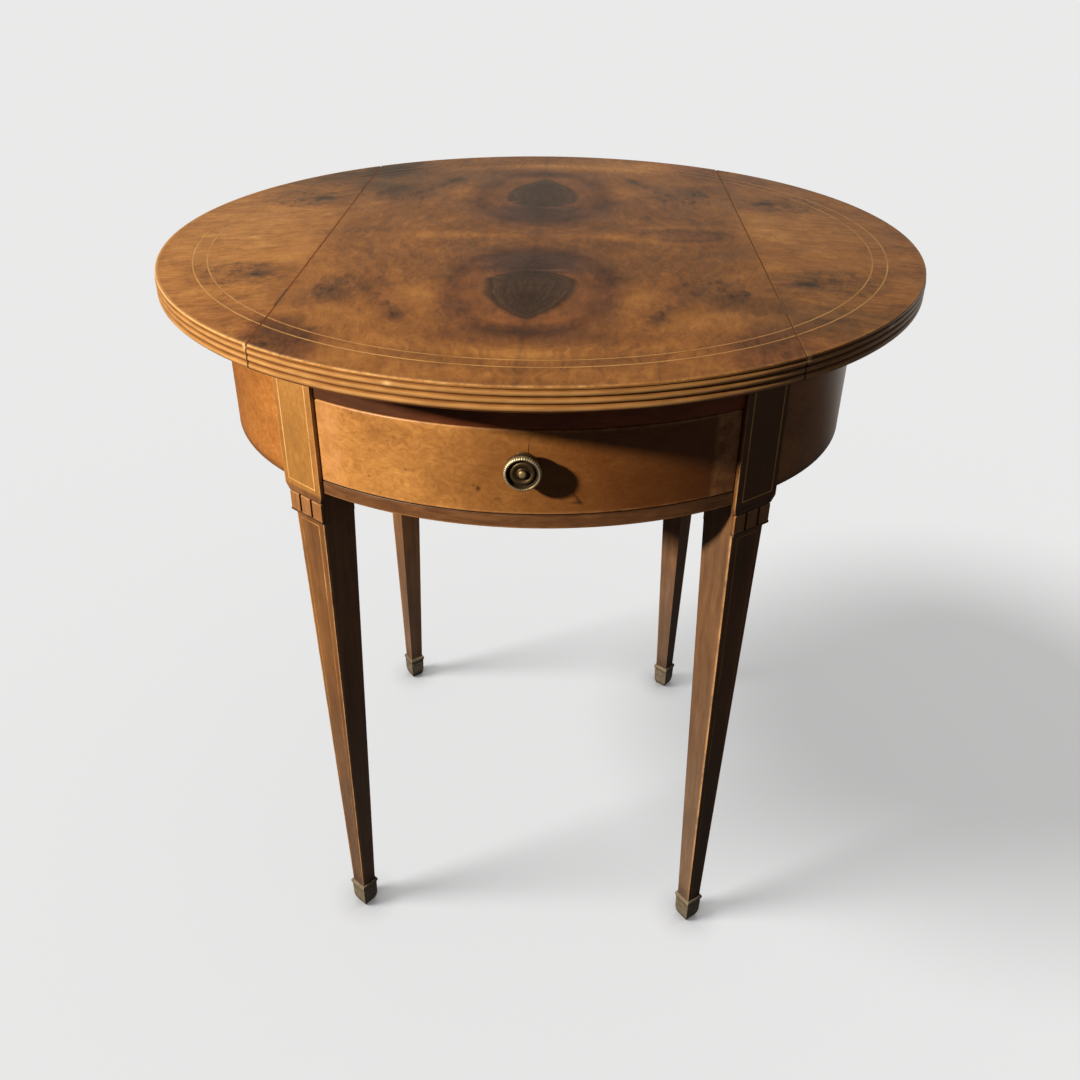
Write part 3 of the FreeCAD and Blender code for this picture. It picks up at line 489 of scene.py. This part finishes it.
def leg_material():
    g = Graph("walnut_legs")
    x, y, z = g.x, g.y, g.z
    c, s = math.cos(math.radians(38.0)), math.sin(math.radians(38.0))
    lx, ly = x.abs() - 187.5, y.abs() - 204.0
    w, v = lx * c - ly * s, lx * s + ly * c
    n = g.noise3(g.p, 60.0, 2.0)
    q = g.noise3(g.p, 7.0, 2.0)
    ww, wv = w + n[0] * 9.0, v + n[1] * 9.0
    t = g.noise(g.vec(ww, wv, z * 0.05), 6.0, 4.0, 0.6, 0.4) * 0.50 + 0.46
    t = t + g.noise(g.vec(x, y, z * 0.5), 44.0, 3.0, 0.6) * 0.46
    t = t + g.noise(g.vec(w, v, z * 0.07), 1.1, 2.0, 0.6) * 0.22
    col = g.ramp(t, [(0.0, (54, 35, 22)), (0.35, (94, 63, 39)), (0.65, (128, 90, 55)), (0.9, (154, 113, 72)), (1.0, (178, 138, 94))])
    # mottled, yellower veneer on the upper post, inside and outside its string panel
    post = g.step(z, 560.0, 564.0) * g.step(v, 13.0, 15.0)
    t2 = g.noise(g.vec(w + q[0] * 8.0, v, z * 0.45 + q[2] * 8.0), 6.0, 5.0, 0.68, 1.2) * 0.95 + 0.5 + n[2] * 0.4
    t2 = t2 + g.noise(g.vec(w, v, z * 0.12), 1.6, 3.0, 0.6) * 0.35
    panel = post * g.step((w - 3.75).abs(), 19.2, 18.4)
    col = g.mix(post * 0.6, col, g.ramp(t2, [(0.0, (84, 54, 25)), (0.5, (148, 103, 49)), (1.0, (198, 152, 88))]))
    col = g.mix(panel * 0.22, col, (158, 118, 58))
    # painted shadow: darker at the top of the post, under the overhang of the top
    col = g.mix(g.step(z + n[0] * 10.0, 670.0, 690.0) * 0.62, col, (52, 35, 19))
    # painted shade: the right-hand posts darker, turned away from the light
    col = g.mix(g.step(z, 545.0, 562.0) * g.step(x, 150.0, 190.0) * 0.66, col, (54, 24, 8))
    # greyer and duller towards the feet: partly dust, partly painted light for the pale floor's bounce
    low = g.step(z + n[0] * 120.0, 430.0, 60.0)
    col = g.mix(low * 0.92, col, g.ramp(t, [(0.0, (50, 41, 35)), (0.5, (95, 78, 67)), (1.0, (142, 121, 106))]))
    # worn corners of the taper and of the post, dirt near the foot, dark lines at the neck's joints and painted shade
    # in its recess; painted light, a greyer bounce from the floor, on the faces beside the drawer
    rise = (z - 7.0) * (1.0 / 526.8)
    wc = w + rise * 1.0
    hw, hv = rise * 11.0 + 8.0, rise * 8.0 + 8.0
    painted_floor_bounce = g.step(wc + hw, 1.3, 0.5) * g.step(z, 560.0, 520.0)
    col = g.mix(painted_floor_bounce * (low * 0.5 + 0.25), col, g.ramp(t, [(0.0, (76, 62, 53)), (0.5, (136, 112, 95)), (1.0, (182, 158, 136))]))
    # painted light: the back legs lighter and the right-hand legs darker, for how the light falls on them; below the
    # posts the legs are a little darker overall
    col = g.scale_colour(col, g.step(y, 0.0, 120.0, 1.0, 1.55) * g.step(z, 560.0, 530.0, 1.0, 0.88) * g.step(x, -40.0, 40.0, 1.06, 0.92))
    chip = g.noise(g.vec(x, y, z * 0.35), 9.0, 4.0, 0.7)
    corner = g.step(hw - wc.abs(), 1.7, 0.2) * g.step(hv - v, 3.6, 0.5) * g.step(z, 534.0, 532.0)
    arris = g.step((w - 3.0).abs(), 23.6, 25.0) * g.step(v, 15.0, 17.4) * g.step(z, 555.0, 561.0)
    worn = (corner + arris * 0.7) * g.step(chip, -0.22, 0.16, 0.05, 1.0)
    col = g.mix(worn.clamp() * 0.8, col, (196, 152, 106))
    dirt = g.step(z, 58.0, 34.0) * 0.4 + (g.step((z - 535.4).abs(), 2.0, 0.5) * 0.5 + g.step((z - 555.2).abs(), 1.4, 0.3) * 0.4) * g.step(v, 12.0, 15.0)
    # painted shade: the recessed face of the neck darkened
    recess = g.step(v, 14.6, 15.2) * g.step(v, 16.2, 15.6) * g.step((z - 545.5).abs(), 10.4, 9.2)
    col = g.mix((dirt + recess * 0.8).clamp(), col, (44, 30, 22))
    pore = g.noise(g.vec(x, y, z * 0.1), 0.8, 2.0, 0.6)
    col = g.scale_colour(col, g.step(pore, -0.05, -0.3, 1.0, 0.78))
    g.bump(pore * 0.6 + t * 0.3 + worn * 0.3, 0.35, 0.0003)
    return g.finish(col, t * 0.14 + 0.34 + worn * 0.15, Specular_IOR_Level=0.45)


def tablet_material():
    g = Graph("walnut_tablets")
    x, y, z = g.x, g.y, g.z
    t = g.noise(g.vec(x, y, z * 0.12), 5.0, 4.0, 0.6) * 0.55 + 0.5 + g.noise(g.p, 16.0, 2.0) * 0.3
    col = g.ramp(t, [(0.0, (76, 49, 30)), (0.5, (132, 91, 56)), (1.0, (182, 138, 94))])
    chip = g.noise(g.p, 6.0, 3.0, 0.6)
    edge = g.max(g.step(z, 552.4, 553.9), g.step(z, 537.6, 536.1)) * g.step(chip, -0.15, 0.15, 0.1, 1.0)
    col = g.mix(edge * 0.55, col, (200, 154, 116))
    pore = g.noise(g.vec(x, y, z * 0.1), 0.8, 2.0, 0.6)
    g.bump(pore + t * 0.3, 0.35, 0.0003)
    return g.finish(col, t * 0.15 + 0.34, Specular_IOR_Level=0.45)


def string_material():
    g = Graph("boxwood_stringing")
    t = g.noise(g.p, 30.0, 4.0, 0.65) * 0.8 + 0.62 + g.noise(g.p, 4.0, 3.0, 0.6) * 0.35
    t = t - g.step(g.y - g.x * 0.3, 40.0, 330.0) * g.step(g.z, 700.0, 728.0) * 0.36
    t = t - g.step((g.x.sq() + g.y.sq()).sqrt(), 323.0, 320.0) * g.step(g.z, 700.0, 728.0) * (g.noise(g.p, 50.0, 2.0) * 0.25 + 0.06)
    t = t - g.step(g.z, 562.0, 556.0) * (g.noise(g.vec(g.x, g.y, g.z * 0.4), 18.0, 3.0, 0.6) * 0.7 + 0.30) - g.step(g.z, 460.0, 120.0) * 0.16
    col = g.ramp(t, [(0.0, (98, 66, 36)), (0.35, (146, 104, 58)), (0.7, (194, 151, 94)), (1.0, (226, 188, 128))])
    grain = g.noise(g.p, 0.7, 2.0, 0.6)
    g.bump(grain, 0.2, 0.0002)
    return g.finish(col, t * 0.2 + 0.32, Specular_IOR_Level=0.42)


def inner_material():
    g = Graph("oak_carcase")
    x, y, z = g.x, g.y, g.z
    w = g.noise3(g.p, 70.0, 2.0)
    t = g.noise(g.vec(x + w[0] * 20.0, y * 0.06, z + w[2] * 20.0), 4.5, 4.0, 0.6, 0.4) * 0.55 + 0.52
    t = t + g.noise(g.p, 60.0, 3.0) * 0.28
    col = g.ramp(t, [(0.0, (92, 64, 38)), (0.4, (138, 102, 64)), (0.75, (172, 134, 90)), (1.0, (196, 160, 114))])
    pore = g.noise(g.vec(x, y * 0.06, z), 0.9, 2.0, 0.6)
    col = g.scale_colour(col, g.step(pore, -0.02, -0.26, 1.0, 0.68))
    stain = g.noise(g.p, 34.0, 4.0, 0.65)
    col = g.mix(g.step(stain, 0.08, 0.28) * 0.4, col, (84, 58, 36))
    g.bump(pore + t * 0.3, 0.4, 0.0004)
    return g.finish(col, t * 0.15 + 0.6, Specular_IOR_Level=0.3)


def brass_material(knob=False, hinge=False):
    g = Graph("aged_brass_knob" if knob else "aged_brass_hinges" if hinge else "aged_brass")
    x, y, z = g.x, g.y, g.z
    t = g.noise(g.p, 5.0, 5.0, 0.65) * 0.9 + 0.5 + g.noise(g.p, 1.2, 3.0, 0.6) * 0.35
    rough = t * -0.22 + 0.56
    if knob:
        col = g.ramp(t, [(0.0, (36, 28, 17)), (0.35, (65, 51, 33)), (0.65, (95, 77, 51)), (1.0, (140, 119, 86))])
        r = (x.sq() + (z - 626.5).sq()).sqrt()
        s = y * -1.0 - 277.0
        ring = g.step(r, 12.7, 13.6) * g.step(s, 13.6, 15.4)
        col = g.mix(ring * g.step(t, 0.25, 0.75, 0.3, 0.95), col, (196, 184, 156))
        pit = g.step((r - 11.4).abs(), 1.5, 0.5) * g.step(s, 9.0, 14.0)
        col = g.mix(pit * 0.9, col, (26, 22, 15))
        pit2 = g.step((r - 5.5).abs(), 1.5, 0.6) * g.step(s, 9.0, 14.0)
        col = g.mix(pit2 * 0.8, col, (40, 34, 23))
        boss = g.step(r, 3.6, 2.2) * g.step(s, 16.0, 18.0)
        col = g.mix(boss * 0.6, col, (192, 172, 130))
        rough = rough + pit * 0.3
        shine = 0.7
    elif hinge:
        col = g.ramp(t, [(0.0, (58, 42, 22)), (0.35, (104, 80, 44)), (0.65, (142, 112, 64)), (1.0, (188, 156, 98))])
        # where the hinges show in the open seam: darker brown, with a faint glow like the seam faces, painted light for
        # light bounced into the gap
        g.mat.cycles.emission_sampling = "NONE"
        g.put(g.bsdf.inputs["Emission Color"], g.mix(g.step(z, 728.0, 730.6), (0, 0, 0), (70, 47, 31)))
        g.bsdf.inputs["Emission Strength"].default_value = 1.0
        col = g.mix(g.step(z, 728.0, 730.6) * 0.75, col, (70, 44, 27))
        shine = 0.3
    else:
        col = g.ramp(t, [(0.0, (72, 66, 58)), (0.35, (120, 112, 99)), (0.65, (164, 154, 138)), (1.0, (208, 198, 180))])
        # rubbed ridge of the foot caps, paler with wear and a painted highlight; darker at the floor and under the
        # ridge
        rub = g.step((z - 31.0).abs(), 2.6, 0.8) * g.step(g.noise(g.p, 4.0, 3.0, 0.6), -0.2, 0.2, 0.2, 0.9)
        col = g.mix(rub * 0.7, col, (196, 174, 132))
        low = g.step(z, 8.0, 1.0) * 0.45 + g.step((z - 27.4).abs(), 1.6, 0.5) * 0.6
        col = g.mix(low.clamp(), col, (42, 34, 24))
        shine = 0.5
    pit3 = g.noise(g.p, 0.9, 3.0, 0.65)
    g.bump(t * 0.5 + pit3 * 0.5, 0.35, 0.0003)
    return g.finish(col, rough, Metallic=shine)


def steel_material():
    g = Graph("old_steel_screws")
    t = g.noise(g.p, 2.4, 4.0, 0.65) * 0.9 + 0.5
    col = g.ramp(t, [(0.0, (62, 48, 38)), (0.5, (108, 100, 92)), (1.0, (150, 146, 140))])
    g.bump(t, 0.3, 0.0002)
    return g.finish(col, t * -0.2 + 0.55, Metallic=1.0)


M = {
    "top": top_material(), "apron": apron_material(), "rail": rail_material(), "rail_top": rail_material(True), "drawer": drawer_material(), "leg": leg_material(),
    "tablet": tablet_material(), "string": string_material(), "inner": inner_material(), "brass": brass_material(),
    "knob": brass_material(True), "hinge": brass_material(hinge=True), "steel": steel_material(),
}


def finish_of(n):
    if n in ("top_centre", "lid_left", "lid_right"):
        return "top"
    if "stringing" in n:
        return "string"
    if n.startswith("leg_"):
        return "leg"
    if n.startswith("neck_tablets"):
        return "tablet"
    if n.startswith("apron_"):
        return "apron"
    if n == "front_rail_top":
        return "rail_top"
    if n == "front_rail_bottom":
        return "rail"
    if n == "drawer_front":
        return "drawer"
    if n in ("knob", "knob_backplate"):
        return "knob"
    if "screws" in n or n in ("knob_bolt", "knob_washer", "knob_nut"):
        return "steel"
    if n.startswith("hinge"):
        return "hinge"
    if n.startswith("sabot"):
        return "brass"
    return "inner"


SOFTEN = {"leg": 0.0003, "tablet": 0.0004, "apron": 0.0006, "rail": 0.0006, "rail_top": 0.0006, "drawer": 0.0013, "brass": 0.00025, "inner": 0.0005}
for n, o in NODES.items():
    kind = finish_of(n)
    for s in o.material_slots:
        s.material = M[kind]
    width = SOFTEN.get(kind)
    if width:
        weld = o.modifiers.new("weld", "WELD")
        weld.merge_threshold = 1e-6
        bev = o.modifiers.new("soft_edges", "BEVEL")
        bev.width = width
        bev.segments = 2
        bev.limit_method = "ANGLE"
        bev.angle_limit = math.radians(38.0)
        bev.use_clamp_overlap = True
        bev.harden_normals = False
        even = o.modifiers.new("even_normals", "WEIGHTED_NORMAL")
        even.mode = "FACE_AREA"
        even.weight = 50


# ------------------------------------------------------------------ the knob's head, with its beaded ring
def knob_mesh():
    prof = [(4.6, 2.7), (5.9, 2.75), (6.2, 3.0), (5.6, 3.5), (5.35, 4.8), (6.0, 5.8), (7.4, 6.5), (10.7, 7.1), (13.0, 7.6), (14.0, 8.1),
            (14.6, 9.0), (14.9, 10.4), (14.8, 11.6), (14.45, 12.7), (14.3, 13.3), (14.4, 13.8), (14.85, 14.3), (15.2, 15.2), (15.35, 16.2),
            (15.2, 17.2), (14.85, 18.0), (14.2, 18.6), (13.5, 18.8), (12.9, 18.55), (12.5, 17.9), (12.3, 16.8), (12.05, 15.9), (11.4, 15.35),
            (10.8, 15.3), (10.3, 15.6), (10.0, 16.3), (9.5, 16.75), (8.8, 16.95), (7.9, 16.85), (7.2, 16.5), (6.6, 16.1), (5.6, 15.85),
            (4.7, 15.9), (4.2, 16.2), (3.95, 16.9), (3.75, 17.6), (3.2, 18.4), (2.2, 18.95), (1.1, 19.12)]
    beads, per = 46, 8
    m = beads * per
    bm = bmesh.new()
    rows = []
    for k, (r, s) in enumerate(prof):
        bead = max(0.0, 1.0 - abs(k - 20) / 4.5)
        row = []
        for i in range(m):
            a = 2.0 * math.pi * i / m
            d = 0.34 * math.sqrt(bead) * (abs(math.sin(0.5 * beads * a)) ** 0.7 - 0.45) if bead > 0 else 0.0
            rr, ss = r + d * 0.7, s + d * 0.7
            row.append(bm.verts.new((rr * math.cos(a) * 1e-3, (-277.0 - ss) * 1e-3, (626.5 + rr * math.sin(a)) * 1e-3)))
        rows.append(row)
    for a, b in zip(rows, rows[1:]):
        for i in range(m):
            j = (i + 1) % m
            bm.faces.new((a[i], a[j], b[j], b[i]))
    tip = bm.verts.new((0.0, (-277.0 - 19.18) * 1e-3, 0.6265))
    base = bm.verts.new((0.0, (-277.0 - 2.7) * 1e-3, 0.6265))
    for i in range(m):
        j = (i + 1) % m
        bm.faces.new((rows[-1][i], rows[-1][j], tip))
        bm.faces.new((rows[0][j], rows[0][i], base))
    bmesh.ops.recalc_face_normals(bm, faces=bm.faces)
    for f in bm.faces:
        f.smooth = True
    me = bpy.data.meshes.new("knob_head")
    bm.to_mesh(me)
    bm.free()
    o = bpy.data.objects.new("knob_head", me)
    scene.collection.objects.link(o)
    me.materials.append(M["knob"])
    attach(o, "drawer")
    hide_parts("knob")
    return o


knob_mesh()


# ------------------------------------------------------------------ floor, light, camera
def quad(name, half, zz):
    me = bpy.data.meshes.new(name)
    me.from_pydata([(-half, -half, zz), (half, -half, zz), (half, half, zz), (-half, half, zz)], [], [(0, 1, 2, 3)])
    o = bpy.data.objects.new(name, me)
    scene.collection.objects.link(o)
    return o


floor = quad("floor", 40.0, 0.0)
fm = bpy.data.materials.new("pale_floor")
fm.use_nodes = True
ft = fm.node_tree
ft.nodes.clear()
fo = ft.nodes.new("ShaderNodeOutputMaterial")
fd = ft.nodes.new("ShaderNodeBsdfDiffuse")
fd.inputs["Color"].default_value = (0.25, 0.25, 0.25, 1.0)
fe = ft.nodes.new("ShaderNodeEmission")
fe.inputs["Color"].default_value = (1.0, 1.0, 1.0, 1.0)
# painted contact shadow: the floor's glow dims close round each foot, by ambient occlusion
fn = ft.nodes.new("ShaderNodeAmbientOcclusion")
fn.samples = 2
fn.inputs["Distance"].default_value = 0.035
fc = ft.nodes.new("ShaderNodeMapRange")
for i, val in ((1, 0.55), (2, 0.90), (3, 0.08), (4, 0.333)):
    fc.inputs[i].default_value = val
ft.links.new(fn.outputs["AO"], fc.inputs[0])
ft.links.new(fc.outputs[0], fe.inputs["Strength"])
fa = ft.nodes.new("ShaderNodeAddShader")
ft.links.new(fd.outputs[0], fa.inputs[0])
ft.links.new(fe.outputs[0], fa.inputs[1])
# for bounced light the floor is a dark diffuse; reflections see it glow, brighter behind and to the right of the table,
# which gives the pale sheen on the right-hand faces
fb = ft.nodes.new("ShaderNodeBsdfDiffuse")
fb.inputs["Color"].default_value = (0.055, 0.041, 0.03, 1.0)
fg = ft.nodes.new("ShaderNodeEmission")
fg.inputs["Color"].default_value = (1.0, 0.95, 0.88, 1.0)
fq = ft.nodes.new("ShaderNodeTexCoord")
fs = ft.nodes.new("ShaderNodeSeparateXYZ")
ft.links.new(fq.outputs["Object"], fs.inputs[0])
fr = ft.nodes.new("ShaderNodeMapRange")
fr.interpolation_type = "SMOOTHSTEP"
for i, val in ((1, 0.6), (2, 1.5), (3, 0.0), (4, 0.75)):
    fr.inputs[i].default_value = val
ft.links.new(fs.outputs[1], fr.inputs[0])
fv = ft.nodes.new("ShaderNodeMapRange")
fv.interpolation_type = "SMOOTHSTEP"
for i, val in ((1, 0.0), (2, 0.5), (3, 0.0), (4, 1.0)):
    fv.inputs[i].default_value = val
ft.links.new(fs.outputs[0], fv.inputs[0])
fz = ft.nodes.new("ShaderNodeMath")
fz.operation = "MULTIPLY_ADD"
ft.links.new(fr.outputs[0], fz.inputs[0])
ft.links.new(fv.outputs[0], fz.inputs[1])
fz.inputs[2].default_value = 0.05
ft.links.new(fz.outputs[0], fg.inputs["Strength"])
lp = ft.nodes.new("ShaderNodeLightPath")
fy = ft.nodes.new("ShaderNodeMixShader")
ft.links.new(lp.outputs["Is Glossy Ray"], fy.inputs[0])
ft.links.new(fb.outputs[0], fy.inputs[1])
ft.links.new(fg.outputs[0], fy.inputs[2])
fx = ft.nodes.new("ShaderNodeMixShader")
ft.links.new(lp.outputs["Is Camera Ray"], fx.inputs[0])
ft.links.new(fy.outputs[0], fx.inputs[1])
ft.links.new(fa.outputs[0], fx.inputs[2])
ft.links.new(fx.outputs[0], fo.inputs[0])
floor.data.materials.append(fm)
fm.cycles.emission_sampling = "NONE"

world = bpy.data.worlds.new("studio")
scene.world = world
world.use_nodes = True
wt = world.node_tree
wt.nodes.clear()
wo = wt.nodes.new("ShaderNodeOutputWorld")
w1 = wt.nodes.new("ShaderNodeBackground")
w1.inputs["Color"].default_value = (1.0, 0.84, 0.69, 1.0)
# dim room all round, with a paler wall low behind the table
wc = wt.nodes.new("ShaderNodeTexCoord")
ws = wt.nodes.new("ShaderNodeSeparateXYZ")
wt.links.new(wc.outputs["Generated"], ws.inputs[0])
wy = wt.nodes.new("ShaderNodeMapRange")
wy.interpolation_type = "SMOOTHSTEP"
for i, val in enumerate((0.0, 0.15, 0.95, 0.0, 1.0)):
    if i:
        wy.inputs[i].default_value = val
wt.links.new(ws.outputs[1], wy.inputs[0])
wz = wt.nodes.new("ShaderNodeMapRange")
wz.interpolation_type = "SMOOTHSTEP"
for i, val in enumerate((0.0, 0.35, 0.14, 0.0, 0.9)):
    if i:
        wz.inputs[i].default_value = val
wt.links.new(ws.outputs[2], wz.inputs[0])
wk = wt.nodes.new("ShaderNodeMath")
wk.operation = "MULTIPLY_ADD"
wt.links.new(wy.outputs[0], wk.inputs[0])
wt.links.new(wz.outputs[0], wk.inputs[1])
wk.inputs[2].default_value = 0.037
wt.links.new(wk.outputs[0], w1.inputs["Strength"])
w2 = wt.nodes.new("ShaderNodeBackground")
w2.inputs["Color"].default_value = (0.807, 0.807, 0.807, 1.0)
wl = wt.nodes.new("ShaderNodeLightPath")
wm = wt.nodes.new("ShaderNodeMixShader")
wt.links.new(wl.outputs["Is Camera Ray"], wm.inputs[0])
wt.links.new(w1.outputs[0], wm.inputs[1])
wt.links.new(w2.outputs[0], wm.inputs[2])
wt.links.new(wm.outputs[0], wo.inputs[0])

# what the warm key lights: everything but the floor
lit = bpy.data.collections.new("lit_by_key")
for o in scene.objects:
    if o.type == "MESH" and o != floor:
        lit.objects.link(o)
lit_top, lit_base = bpy.data.collections.new("top_pieces"), bpy.data.collections.new("base_pieces")
for o in lit.objects:
    (lit_top if any(o == NODES[n] for n in NODES if finish_of(n) == "top" or n in ("centre_stringing", "lid_stringing_left", "lid_stringing_right")) else lit_base).objects.link(o)
only_floor = bpy.data.collections.new("lit_by_floor_light")
only_floor.objects.link(floor)


def lamp(name, kind, energy, colour, at, aim, receivers=None, **more):
    d = bpy.data.lights.new(name, kind)
    d.energy = energy
    d.color = colour
    for k, v in more.items():
        setattr(d, k, v)
    o = bpy.data.objects.new(name, d)
    scene.collection.objects.link(o)
    o.location = at
    o.rotation_mode = "QUATERNION"
    o.rotation_quaternion = (Vector(aim) - Vector(at)).to_track_quat("-Z", "Y")
    if receivers is not None:
        o.light_linking.receiver_collection = receivers
    return o


def from_dir(az, el, dist, aim):
    a, e = math.radians(az), math.radians(el)
    return Vector(aim) - Vector((math.cos(e) * math.cos(a), math.cos(e) * math.sin(a), -math.sin(e))) * dist


AIM = (0.0, 0.0, 0.62)
lamp("key", "AREA", 150.0, (1.0, 0.86, 0.67), from_dir(40.5, 25.5, 2.7, AIM), AIM, lit_base, shape="DISK", size=0.17)
# the same light on the top, without its mirror image in the polish
key_top = lamp("key_top", "AREA", 150.0, (1.0, 0.86, 0.67), from_dir(40.5, 25.5, 2.7, AIM), AIM, lit_top, shape="DISK", size=0.17)
key_top.visible_glossy = False
lamp("fill", "SUN", 0.13, (0.94, 0.97, 1.0), from_dir(150.0, 12.0, 2.7, AIM), AIM, lit, angle=math.radians(50.0))
lamp("back_fill", "SUN", 1.1, (1.0, 0.94, 0.87), from_dir(242.0, 5.0, 2.7, AIM), AIM, lit_base, angle=math.radians(14.0))
lamp("floor_key", "SUN", 5.2, (1.0, 1.0, 1.0), from_dir(15.0, 47.0, 2.7, AIM), AIM, only_floor, angle=math.radians(18.0))
lamp("floor_dome", "SUN", 2.2, (1.0, 1.0, 1.0), from_dir(0.0, 90.0, 2.7, AIM), AIM, only_floor, angle=math.radians(170.0))

CAM = Vector((0.035406, -1.000256, 1.018369))
YAW, PITCH, ROLL = -0.057843, 0.528435, -0.001139
fwd = Vector((math.sin(YAW) * math.cos(PITCH), math.cos(YAW) * math.cos(PITCH), -math.sin(PITCH)))
right = Vector((math.cos(YAW), -math.sin(YAW), 0.0))
up = right.cross(fwd)
r2 = right * math.cos(ROLL) + up * math.sin(ROLL)
u2 = up * math.cos(ROLL) - right * math.sin(ROLL)
cd = bpy.data.cameras.new("camera")
cam = bpy.data.objects.new("camera", cd)
scene.collection.objects.link(cam)
rot = Matrix((r2, u2, -fwd)).transposed()
cam.matrix_world = Matrix.Translation(CAM) @ rot.to_4x4()
cd.sensor_fit = "HORIZONTAL"
cd.sensor_width = 36.0
cd.lens = 1025.458 / 1080.0 * 36.0
cd.shift_x = (540.0 - 515.514) / 1080.0
cd.shift_y = (497.300 - 540.0) / 1080.0
cd.clip_start, cd.clip_end = 0.01, 200.0
scene.camera = cam

scene.view_settings.view_transform = "Standard"
scene.view_settings.look = "None"
scene.view_settings.exposure = 0.0
scene.view_settings.gamma = 1.0
